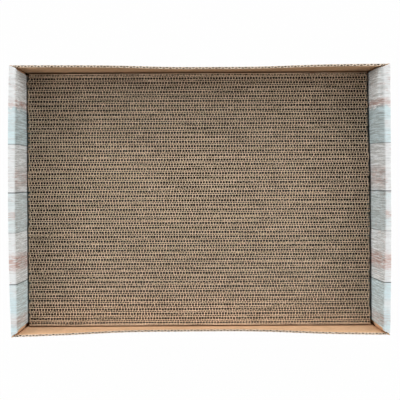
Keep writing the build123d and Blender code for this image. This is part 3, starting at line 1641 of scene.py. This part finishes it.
        def place(a: Array, b: Array, depth: Array) -> Array:
            """Points round the corner: a along its line, b upwards."""
            x, inwards = self.corner.offset(a, depth)
            return np.stack([end.value * x, side.value * (sizes.half_width - inwards), b], axis=-1)

        grid = PanelGrid(
            across,
            np.linspace(sizes.tab_low, top, mesh.corner_places),
            place,
            lambda a, b: np.stack([end.value * a, side.value * (sizes.half_width + b)], axis=-1),
            lambda a, b: self.corner.crease(a, board.crease_width),
        )
        self.builder.add(draft, grid)

    def build(self) -> None:
        """Builds every panel."""
        self.build_base()
        for end in End:
            self.build_end(end)
        self.build_long_wall(Long.BACK, self.back_tears)
        self.build_long_wall(Long.FRONT, self.front_tears)


@dataclass(frozen=True)
class StripBoard:
    """Double-wall board of the pad: three liners with a small and a large flute between them.

    The saw leaves each paper edge wider than the paper under it, as a burr.

    Attributes:
        paper: Thickness of each liner and fluted paper.
        outer_burr: Burr of the outer liners.
        middle_burr: Burr of the middle liner.
        small_burr: Burr of the small flute's paper, on its flanks.
        large_burr: Burr of the large flute's paper, on its flanks.
        edge_burr: Burr of a liner on the pad's own long side.
        burr_depth: How far a burr reaches down.
        small_share: The small flute's share of the room between the liners.
        small_pitch: Pitch of the small flute.
        large_pitch: Pitch of the large flute.
        liner_step: Length of the steps that draw a liner.
        crest_shares: Places of a crest's points, as shares of the pitch.
        crest_levels: Levels of those points.
        crest_top: Level over which a place is on a crest.
        end_gap: Least room between a crest's point and the strip's end.
    """

    paper: float = 0.18 * MM
    outer_burr: float = 0.20 * MM
    middle_burr: float = 0.42 * MM
    small_burr: float = 0.35 * MM
    large_burr: float = 0.62 * MM
    edge_burr: float = 0.60 * MM
    burr_depth: float = 1.5 * MM
    small_share: float = 0.355
    small_pitch: float = 6.26 * MM
    large_pitch: float = 7.30 * MM
    liner_step: float = 9 * MM
    crest_shares: Triple = (-0.22, 0.0, 0.22)
    crest_levels: Triple = (0.97, 1.0, 0.97)
    crest_top: float = 0.99
    end_gap: float = 0.3 * MM

    def wave(self, ends: Span, pitch: float, phase: float) -> tuple[Array, Array]:
        """Draws a fluted line: flat crests and troughs with steep flanks between them.

        Args:
            ends: X of the line's ends.
            pitch: Its flute pitch.
            phase: Place of its first crest, as a share of the pitch.

        Returns:
            X of the points, and their levels from -1 to 1.
        """
        count = int((ends[1] - ends[0]) / pitch) + 2
        shares = np.array([0.5 * half + share for half in (0, 1) for share in self.crest_shares])
        levels = [sign * level for sign in (1, -1) for level in self.crest_levels]
        flutes = np.arange(-1, count)[:, None] + phase + shares[None, :]
        x = ends[0] + pitch * flutes.reshape(-1)
        level = np.tile(levels, count + 1)
        inside = (x > ends[0] + self.end_gap) & (x < ends[1] - self.end_gap)
        edge_levels = np.interp(ends, x, level)
        x = np.concatenate([ends[:1], x[inside], ends[1:]])
        return x, np.concatenate([edge_levels[:1], level[inside], edge_levels[1:]])


@dataclass(frozen=True)
class PadWear:
    """How uneven the saw and the claws leave the pad's strips.

    Each spread beside an unevenness is how many neighbours it is smoothed over.

    Attributes:
        left_ends: Between which lengths a strip is short of the pad's left end.
        right_ends: Between which lengths it is short of the right end.
        heads: Between which heights over the pad's top it is cut.
        last_short: How much shorter the last strip is at both ends.
        tuck_short: How much shorter the back strips are beside the tucked flap.
        tuck_shares: Shares of the strips between which that begins.
        edge: Unevenness of a paper edge's height, and its spread.
        edge_limits: Limits of that, as multiples of it.
        burr: Unevenness of a burr's width as a share of it, and its spread.
        burr_limits: Limits of the width, as shares.
        middle_sway: Unevenness of the middle liner, and its spread.
        flute_sway: Unevenness of a fluted paper, and its spread.
        flute_lean: How much the flutes are pushed over as a share of their height, and its spread.
        lean_level: How much of that is taken off again, so that most flutes stand.
        lean_limit: The most that a flute is pushed over.
    """

    left_ends: Span = (-0.45 * MM, 0.85 * MM)
    right_ends: Span = (0.05 * MM, 1.55 * MM)
    heads: Span = (-0.35 * MM, 0.1 * MM)
    last_short: float = 2.2 * MM
    tuck_short: float = 1.8 * MM
    tuck_shares: Span = (0.575, 0.85)
    edge: Span = (0.16 * MM, 0.8)
    edge_limits: Span = (-2.0, 1.0)
    burr: Span = (0.30, 0.7)
    burr_limits: Span = (0.35, 1.7)
    middle_sway: Span = (0.08 * MM, 1.0)
    flute_sway: Span = (0.12 * MM, 0.9)
    flute_lean: Span = (0.45, 9.0)
    lean_level: float = 0.4
    lean_limit: float = 0.5


@dataclass(frozen=True)
class TornPaper:
    """Torn paper over the small flutes' openings, drawn at random within these limits.

    Attributes:
        stretches: Least count of torn stretches on a strip, and the count that is not reached.
        reach: Half the length of a stretch.
        width: Width of a scrap as a share of half the pitch.
        cover: How much of an opening it covers.
        drop: How deep it lies.
        tilt: How far its corners hang down.
        front_share: Share of the scraps that hang on the front liner.
        bare_share: Share of the openings that stay bare.
        taper: Width of its free edge as a share of its width.
        thickness: Its thickness.
    """

    stretches: tuple[int, int] = (1, 4)
    reach: Span = (12 * MM, 45 * MM)
    width: Span = (0.3, 0.55)
    cover: Span = (0.4, 0.95)
    drop: Span = (0.05 * MM, 0.7 * MM)
    tilt: float = 0.5 * MM
    front_share: float = 0.5
    bare_share: float = 0.25
    taper: float = 0.7
    thickness: float = 0.2 * MM


@dataclass(frozen=True)
class StripPlan:
    """One strip's place in the pad: its front face, thickness, ends, foot, cut height and free sides."""

    near: float
    thickness: float
    ends: Span
    foot: float
    head: float
    front_free: bool
    back_free: bool


@dataclass
class ScratchPad:
    """The loose pad: board strips on edge with their cut flute ends up.

    Attributes:
        board: Board of the strips.
        wear: How uneven they are.
        torn: Torn paper on them.
        strips_per_node: How many strips a CAD node holds.
        front_squeeze: How much thinner the first strip is.
        back_squeeze: How much thinner the last strip is.
        stop_inset: How far the dark sheets of painted shade in the flutes end before the strips do.
        stop_share: Height of those stops as a share of the strips' height.
        cut: Finish of the cut edges.
        scraps: Finish of the torn paper.
        seed: Seed of all unevenness.
    """

    board: StripBoard = StripBoard()
    wear: PadWear = PadWear()
    torn: TornPaper = TornPaper()
    strips_per_node: int = 2
    front_squeeze: float = 1.0 * MM
    back_squeeze: float = 1.5 * MM
    stop_inset: float = 3 * MM
    stop_share: float = 0.5
    cut: CutPaper = CutPaper("pad_cut_edge", (0.765, 0.578, 0.406), (0.91, 0.715, 0.525))
    scraps: CutPaper = CutPaper("pad_torn_paper", (0.22, 0.165, 0.115), (0.48, 0.375, 0.28))
    seed: int = 17

    def __post_init__(self) -> None:
        """Finds the strips' nodes, and prepares the finishes and the seeded source of unevenness."""
        self.nodes = sorted(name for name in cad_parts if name.startswith("pad_strips"))
        self.materials = self.dress()
        self.rng = np.random.default_rng(self.seed)

    def dress(self) -> list[bpy.types.Material]:
        """Makes the finishes.

        Returns:
            Materials in the order of Face.
        """
        boxes = [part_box(name) for name in self.nodes]
        low = [min(box[0][axis] for box in boxes) for axis in range(3)]
        high = [max(box[1][axis] for box in boxes) for axis in range(3)]
        low[1] += self.front_squeeze
        high[1] -= self.back_squeeze
        # The strips' paper holds painted shade in their flutes.
        paper = FlutePaper(tuple(low), tuple(high)).build()
        return [paper, paper, self.cut.build(), self.scraps.build()]

    def noise(self, count: int, kind: Span) -> Array:
        """Random values along a strip, by their size and by how many neighbours they are smoothed over."""
        size, spread = kind
        return size * smooth_noise(self.rng, count, spread)

    def add_layer(
        self, draft: MeshDraft, strip: StripPlan, x: Array, y: Array, sway: Array, burr_halves: Array
    ) -> None:
        """Adds one paper layer of a strip, with the burr along its cut top.

        Args:
            draft: The piece's mesh so far.
            strip: The strip.
            x: Places along the strip.
            y: Y of the layer's middle.
            sway: How far the cut top stands aside from that.
            burr_halves: Half the cut top's width at each place.
        """
        board, wear, count = self.board, self.wear, len(x)
        edge, spread = wear.edge
        head = strip.head + edge * np.clip(smooth_noise(self.rng, count, spread), *wear.edge_limits)
        paper_halves = np.full(count, board.paper / 2)
        rings = (
            (y, np.full(count, strip.foot), paper_halves),
            (y, head - board.burr_depth, paper_halves),
            (y + sway, head, burr_halves),
        )
        fronts, backs = [], []
        for middle_y, z, half in rings:
            slope = np.gradient(middle_y, x)
            size = np.sqrt(1 + slope**2)
            normal = np.stack([-slope / size, 1 / size, np.zeros(count)], axis=-1)
            middle = np.stack([x, middle_y, z], axis=-1)
            fronts.append(middle + half[:, None] * normal)
            backs.append(middle - half[:, None] * normal)
        front, back = np.stack(fronts, axis=1), np.stack(backs, axis=1)
        draft.add_sheet(front, back, front[..., [0, 2]], SheetDress(Face.KRAFT, Face.KRAFT))

    def burr_halves(self, burr: Array) -> Array:
        """Half the width of a cut edge at each place, from the paper and its uneven burr."""
        spread = np.clip(1 + self.noise(len(burr), self.wear.burr), *self.wear.burr_limits)
        return self.board.paper / 2 + burr / 2 * spread

    def add_flutes(
        self, draft: MeshDraft, strip: StripPlan, liners: Span, pitch: float, burr: float
    ) -> None:
        """Adds one fluted layer between two liners.

        Args:
            draft: The piece's mesh so far.
            strip: The strip.
            liners: Y of the middles of the liners on both sides.
            pitch: Its flute pitch.
            burr: How much wider its cut edge is than its paper.
        """
        board, wear = self.board, self.wear
        x, level = board.wave(strip.ends, pitch, self.rng.uniform(0, 1))
        middle = sum(liners) / 2
        swing = (liners[1] - liners[0]) / 2 - board.paper
        y = middle + swing * level
        lean = np.clip(self.noise(len(x), wear.flute_lean) - wear.lean_level, 0, wear.lean_limit)
        top = y - lean * swing * level + self.noise(len(x), wear.flute_sway)
        sway = np.clip(top, middle - swing, middle + swing) - y
        halves = self.burr_halves(burr * (np.abs(level) < board.crest_top))
        self.add_layer(draft, strip, x, y, sway, halves)

    def add_shade_stop(self, draft: MeshDraft, strip: StripPlan) -> None:
        """Closes a strip's flutes deep inside with a dark sheet of painted shade, where no light reaches.

        Args:
            draft: The piece's mesh so far.
            strip: The strip.
        """
        paper, inset = self.board.paper, self.stop_inset
        x, y = np.meshgrid(
            [strip.ends[0] + inset, strip.ends[1] - inset],
            [strip.near + paper, strip.near + strip.thickness - paper],
            indexing="ij",
        )
        level = strip.foot + self.stop_share * (strip.head - strip.foot)
        top = np.stack([x, y, np.full_like(x, level)], axis=-1)
        low = top - np.array([0, 0, paper])
        draft.add_sheet(top, low, top[..., [0, 1]], SheetDress(Face.KRAFT, Face.KRAFT, Face.KRAFT))

    def add_torn_paper(self, draft: MeshDraft, strip: StripPlan, liners: Span, pitch: float) -> None:
        """Adds torn paper that lies over flute openings in a few stretches of a strip.

        Args:
            draft: The piece's mesh so far.
            strip: The strip.
            liners: Y of the middles of the liners on both sides.
            pitch: The flute pitch of the openings.
        """
        rng, torn = self.rng, self.torn
        for _ in range(rng.integers(*torn.stretches)):
            centre = rng.uniform(*strip.ends)
            reach = rng.uniform(*torn.reach)
            for place in np.arange(centre - reach, centre + reach, pitch / 2):
                half = rng.uniform(*torn.width) * pitch / 2
                cover = rng.uniform(*torn.cover)
                drop = rng.uniform(*torn.drop)
                tilt = rng.uniform(-torn.tilt, torn.tilt, 4)
                from_front = rng.uniform() < torn.front_share
                bare = rng.uniform() < torn.bare_share
                if bare or place - half < strip.ends[0] or place + half > strip.ends[1]:
                    continue
                start, other = liners if from_front else liners[::-1]
                stop = start + (other - start) * cover
                free = torn.taper * half
                xs = np.array([[place - half, place - free], [place + half, place + free]])
                ys = np.array([[start, stop], [start, stop]])
                top = np.stack([xs, ys, strip.head - drop - np.abs(tilt.reshape(2, 2))], axis=-1)
                low = top - np.array([0, 0, torn.thickness])
                draft.add_sheet(top, low, top[..., [0, 1]], SheetDress(Face.FLUTE, Face.KRAFT))

    def add_strip(self, draft: MeshDraft, strip: StripPlan) -> None:
        """Adds one strip: liners, flutes and the torn paper over some of its small flutes.

        Args:
            draft: The piece's mesh so far.
            strip: The strip.
        """
        board = self.board
        front = strip.near + board.paper / 2
        back = strip.near + strip.thickness - board.paper / 2
        room = strip.thickness - 3 * board.paper
        middle = front + board.paper + board.small_share * room
        x = np.linspace(*strip.ends, int((strip.ends[1] - strip.ends[0]) / board.liner_step) + 1)
        front_burr = board.edge_burr if strip.front_free else board.outer_burr
        back_burr = board.edge_burr if strip.back_free else board.outer_burr
        liners = ((front, front_burr, 1), (middle, board.middle_burr, 0), (back, back_burr, -1))
        for y, burr, inwards in liners:
            halves = self.burr_halves(np.full(len(x), burr))
            if inwards:
                sway = inwards * (halves - board.paper / 2)
            else:
                sway = self.noise(len(x), self.wear.middle_sway)
            self.add_layer(draft, strip, x, np.full(len(x), y), sway, halves)
        self.add_flutes(draft, strip, (front, middle), board.small_pitch, board.small_burr)
        self.add_flutes(draft, strip, (middle, back), board.large_pitch, board.large_burr)
        # A dark sheet deep in the flutes, as painted shade.
        self.add_shade_stop(draft, strip)
        self.add_torn_paper(draft, strip, (front, middle), board.small_pitch)

    def plan(self, low: Vector, high: Vector, node: int, number: int) -> StripPlan:
        """Places one strip.

        Args:
            low: Low corner of its CAD node.
            high: High corner of its CAD node.
            node: The node's number from the front.
            number: The strip's number in its node.

        Returns:
            The strip's place.
        """
        wear, rng = self.wear, self.rng
        count = node * self.strips_per_node + number
        last = len(self.nodes) * self.strips_per_node - 1
        first_strip, last_strip = count == 0, count == last
        worn = wear.last_short if last_strip else 0.0
        tucked = wear.tuck_short * rise(count / last, *wear.tuck_shares)
        ends = (
            low.x + rng.uniform(*wear.left_ends) + worn,
            high.x - rng.uniform(*wear.right_ends) - max(worn, tucked),
        )
        head = high.z + rng.uniform(*wear.heads)
        thickness = (high.y - low.y) / self.strips_per_node
        front = self.front_squeeze if first_strip else 0.0
        back = self.back_squeeze if last_strip else 0.0
        near = low.y + number * thickness + front
        return StripPlan(near, thickness - front - back, ends, low.z, head, first_strip, last_strip)

    def build(self) -> None:
        """Builds every node's strips."""
        for place, name in enumerate(self.nodes):
            low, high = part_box(name)
            draft = MeshDraft()
            for number in range(self.strips_per_node):
                self.add_strip(draft, self.plan(low, high, place, number))
            piece = draft.to_object(f"{name}_cut_board", self.materials)
            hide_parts(name)
            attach(piece, "pad")
            log.info("%s: %d faces", piece.name, len(piece.data.polygons))


@dataclass(frozen=True)
class SoftBox:
    """A large soft lamp."""

    name: str
    place: Triple
    size: Span
    power: float

    def build(self) -> None:
        """Makes the lamp, aimed at the part's middle."""
        lamp = bpy.data.lights.new(self.name, "AREA")
        lamp.shape = "RECTANGLE"
        lamp.size, lamp.size_y = self.size
        lamp.energy = self.power
        thing = bpy.data.objects.new(self.name, lamp)
        thing.location = self.place
        thing.rotation_euler = (-Vector(self.place)).to_track_quat("-Z", "Y").to_euler()
        bpy.context.scene.collection.objects.link(thing)


@dataclass(frozen=True)
class Studio:
    """White floor, soft light and the camera straight above.

    Attributes:
        lamps: The lamps.
        sky: Strength of the surroundings' light.
        white: Colour of the surroundings and of the floor where it is plain white.
        floor_white: How bright the floor is where it lights the part.
        floor_glow: How much of the floor's look is plain white, so that only a faint shadow is left.
        floor_half: Half the floor's width.
        floor_level: Its height.
        camera_place: X and Y of the camera.
        camera_rise: Its height over the pad's top.
        camera_turn: How far it is turned, in degrees.
        lens: Its focal length in millimetres.
        sensor: Its sensor's width in millimetres.
        frame_shift: How far its picture is shifted, as a share of the picture.
    """

    lamps: tuple[SoftBox, ...] = (
        SoftBox("back_softbox", (0.0, 3.40, 1.20), (3.4, 1.30), 93.0),
        SoftBox("left_softbox", (-3.30, 0.75, 1.27), (2.2, 1.45), 79.0),
        SoftBox("right_softbox", (3.30, 0.75, 1.27), (2.2, 1.45), 79.0),
        SoftBox("front_strip", (0.0, -1.30, 0.038), (1.8, 0.06), 7.0),
        SoftBox("left_fill", (-0.475, -0.10, 0.344), (0.4, 0.21), 0.7),
        SoftBox("right_fill", (0.475, -0.10, 0.344), (0.4, 0.21), 0.7),
    )
    sky: float = 0.118
    white: Colour = (1.0, 1.0, 1.0)
    floor_white: float = 0.35
    floor_glow: float = 0.99
    floor_half: float = 4.0
    floor_level: float = -0.3 * MM
    camera_place: Span = (1.3 * MM, 24.3 * MM)
    camera_rise: float = 671 * MM
    camera_turn: float = 0.33
    lens: float = 47.1
    sensor: float = 36.0
    frame_shift: float = -0.05

    @staticmethod
    def seen_directly(tree: bpy.types.NodeTree) -> Socket:
        """Tells what the camera sees, straight, in a gloss or through glass.

        Args:
            tree: The nodes that need it.

        Returns:
            1 for what is seen, 0 for what only lights.
        """
        path = tree.nodes.new("ShaderNodeLightPath")
        total = path.outputs["Is Camera Ray"]
        for name in ("Is Glossy Ray", "Is Transmission Ray"):
            node = tree.nodes.new("ShaderNodeMath")
            node.operation = "MAXIMUM"
            tree.links.new(total, node.inputs[0])
            tree.links.new(path.outputs[name], node.inputs[1])
            total = node.outputs[0]
        return total

    @staticmethod
    def mix_shaders(tree: bpy.types.NodeTree, sources: tuple[Socket, ...], target: Socket) -> None:
        """Mixes two shaders into an output.

        Args:
            tree: Their nodes.
            sources: Share of the second shader, the first shader and the second.
            target: The output's socket.
        """
        mixed = tree.nodes.new("ShaderNodeMixShader")
        for socket, source in zip(mixed.inputs, sources):
            tree.links.new(source, socket)
        tree.links.new(mixed.outputs[0], target)

    def build_world(self) -> None:
        """Makes white surroundings that light the part softly."""
        world = bpy.data.worlds.new("studio")
        world.use_nodes = True
        tree = world.node_tree
        tree.nodes.clear()
        light, white = (tree.nodes.new("ShaderNodeBackground") for _ in range(2))
        light.inputs["Strength"].default_value = self.sky
        for node in (light, white):
            node.inputs["Color"].default_value = (*self.white, 1.0)
        output = tree.nodes.new("ShaderNodeOutputWorld")
        sources = (self.seen_directly(tree), light.outputs[0], white.outputs[0])
        self.mix_shaders(tree, sources, output.inputs["Surface"])
        bpy.context.scene.world = world

    def build_floor(self) -> None:
        """Makes the white floor that keeps a faint shadow."""
        signs = ((-1, -1), (1, -1), (1, 1), (-1, 1))
        corners = [(x * self.floor_half, y * self.floor_half, self.floor_level) for x, y in signs]
        mesh = bpy.data.meshes.new("floor")
        mesh.from_pydata(corners, [], [(0, 1, 2, 3)])
        floor = bpy.data.objects.new("floor", mesh)
        bpy.context.scene.collection.objects.link(floor)
        sheet = NodeSheet("white_floor")
        matt = sheet.tree.nodes.new("ShaderNodeBsdfDiffuse")
        matt.inputs["Color"].default_value = (*(self.floor_white,) * 3, 1.0)
        glow = sheet.tree.nodes.new("ShaderNodeEmission")
        glow.inputs["Color"].default_value = (*self.white, 1.0)
        share = sheet.times(self.seen_directly(sheet.tree), self.floor_glow)
        sources = (share, matt.outputs[0], glow.outputs[0])
        self.mix_shaders(sheet.tree, sources, sheet.output.inputs["Surface"])
        mesh.materials.append(sheet.material)

    def build_camera(self, pad_top: float) -> None:
        """Makes the camera.

        Args:
            pad_top: Height of the pad's top.
        """
        camera = bpy.data.cameras.new("camera")
        camera.sensor_width = self.sensor
        camera.lens = self.lens
        camera.shift_y = self.frame_shift
        thing = bpy.data.objects.new("camera", camera)
        thing.location = (*self.camera_place, pad_top + self.camera_rise)
        thing.rotation_euler = (0.0, 0.0, math.radians(-self.camera_turn))
        bpy.context.scene.collection.objects.link(thing)
        bpy.context.scene.camera = thing

    def build(self, sizes: TraySizes) -> None:
        """Makes the stage.

        Args:
            sizes: The tray's sizes, for the camera's height.
        """
        bpy.context.scene.view_settings.view_transform = "Standard"
        for lamp in self.lamps:
            lamp.build()
        self.build_world()
        self.build_floor()
        self.build_camera(sizes.pad_top)


def main() -> None:
    """Builds the stage, the tray and the pad."""
    logging.basicConfig(level=logging.INFO)
    sizes = TraySizes.from_frame()
    Studio().build(sizes)
    Tray(sizes).build()
    ScratchPad().build()


if __name__ == "__main__":
    main()
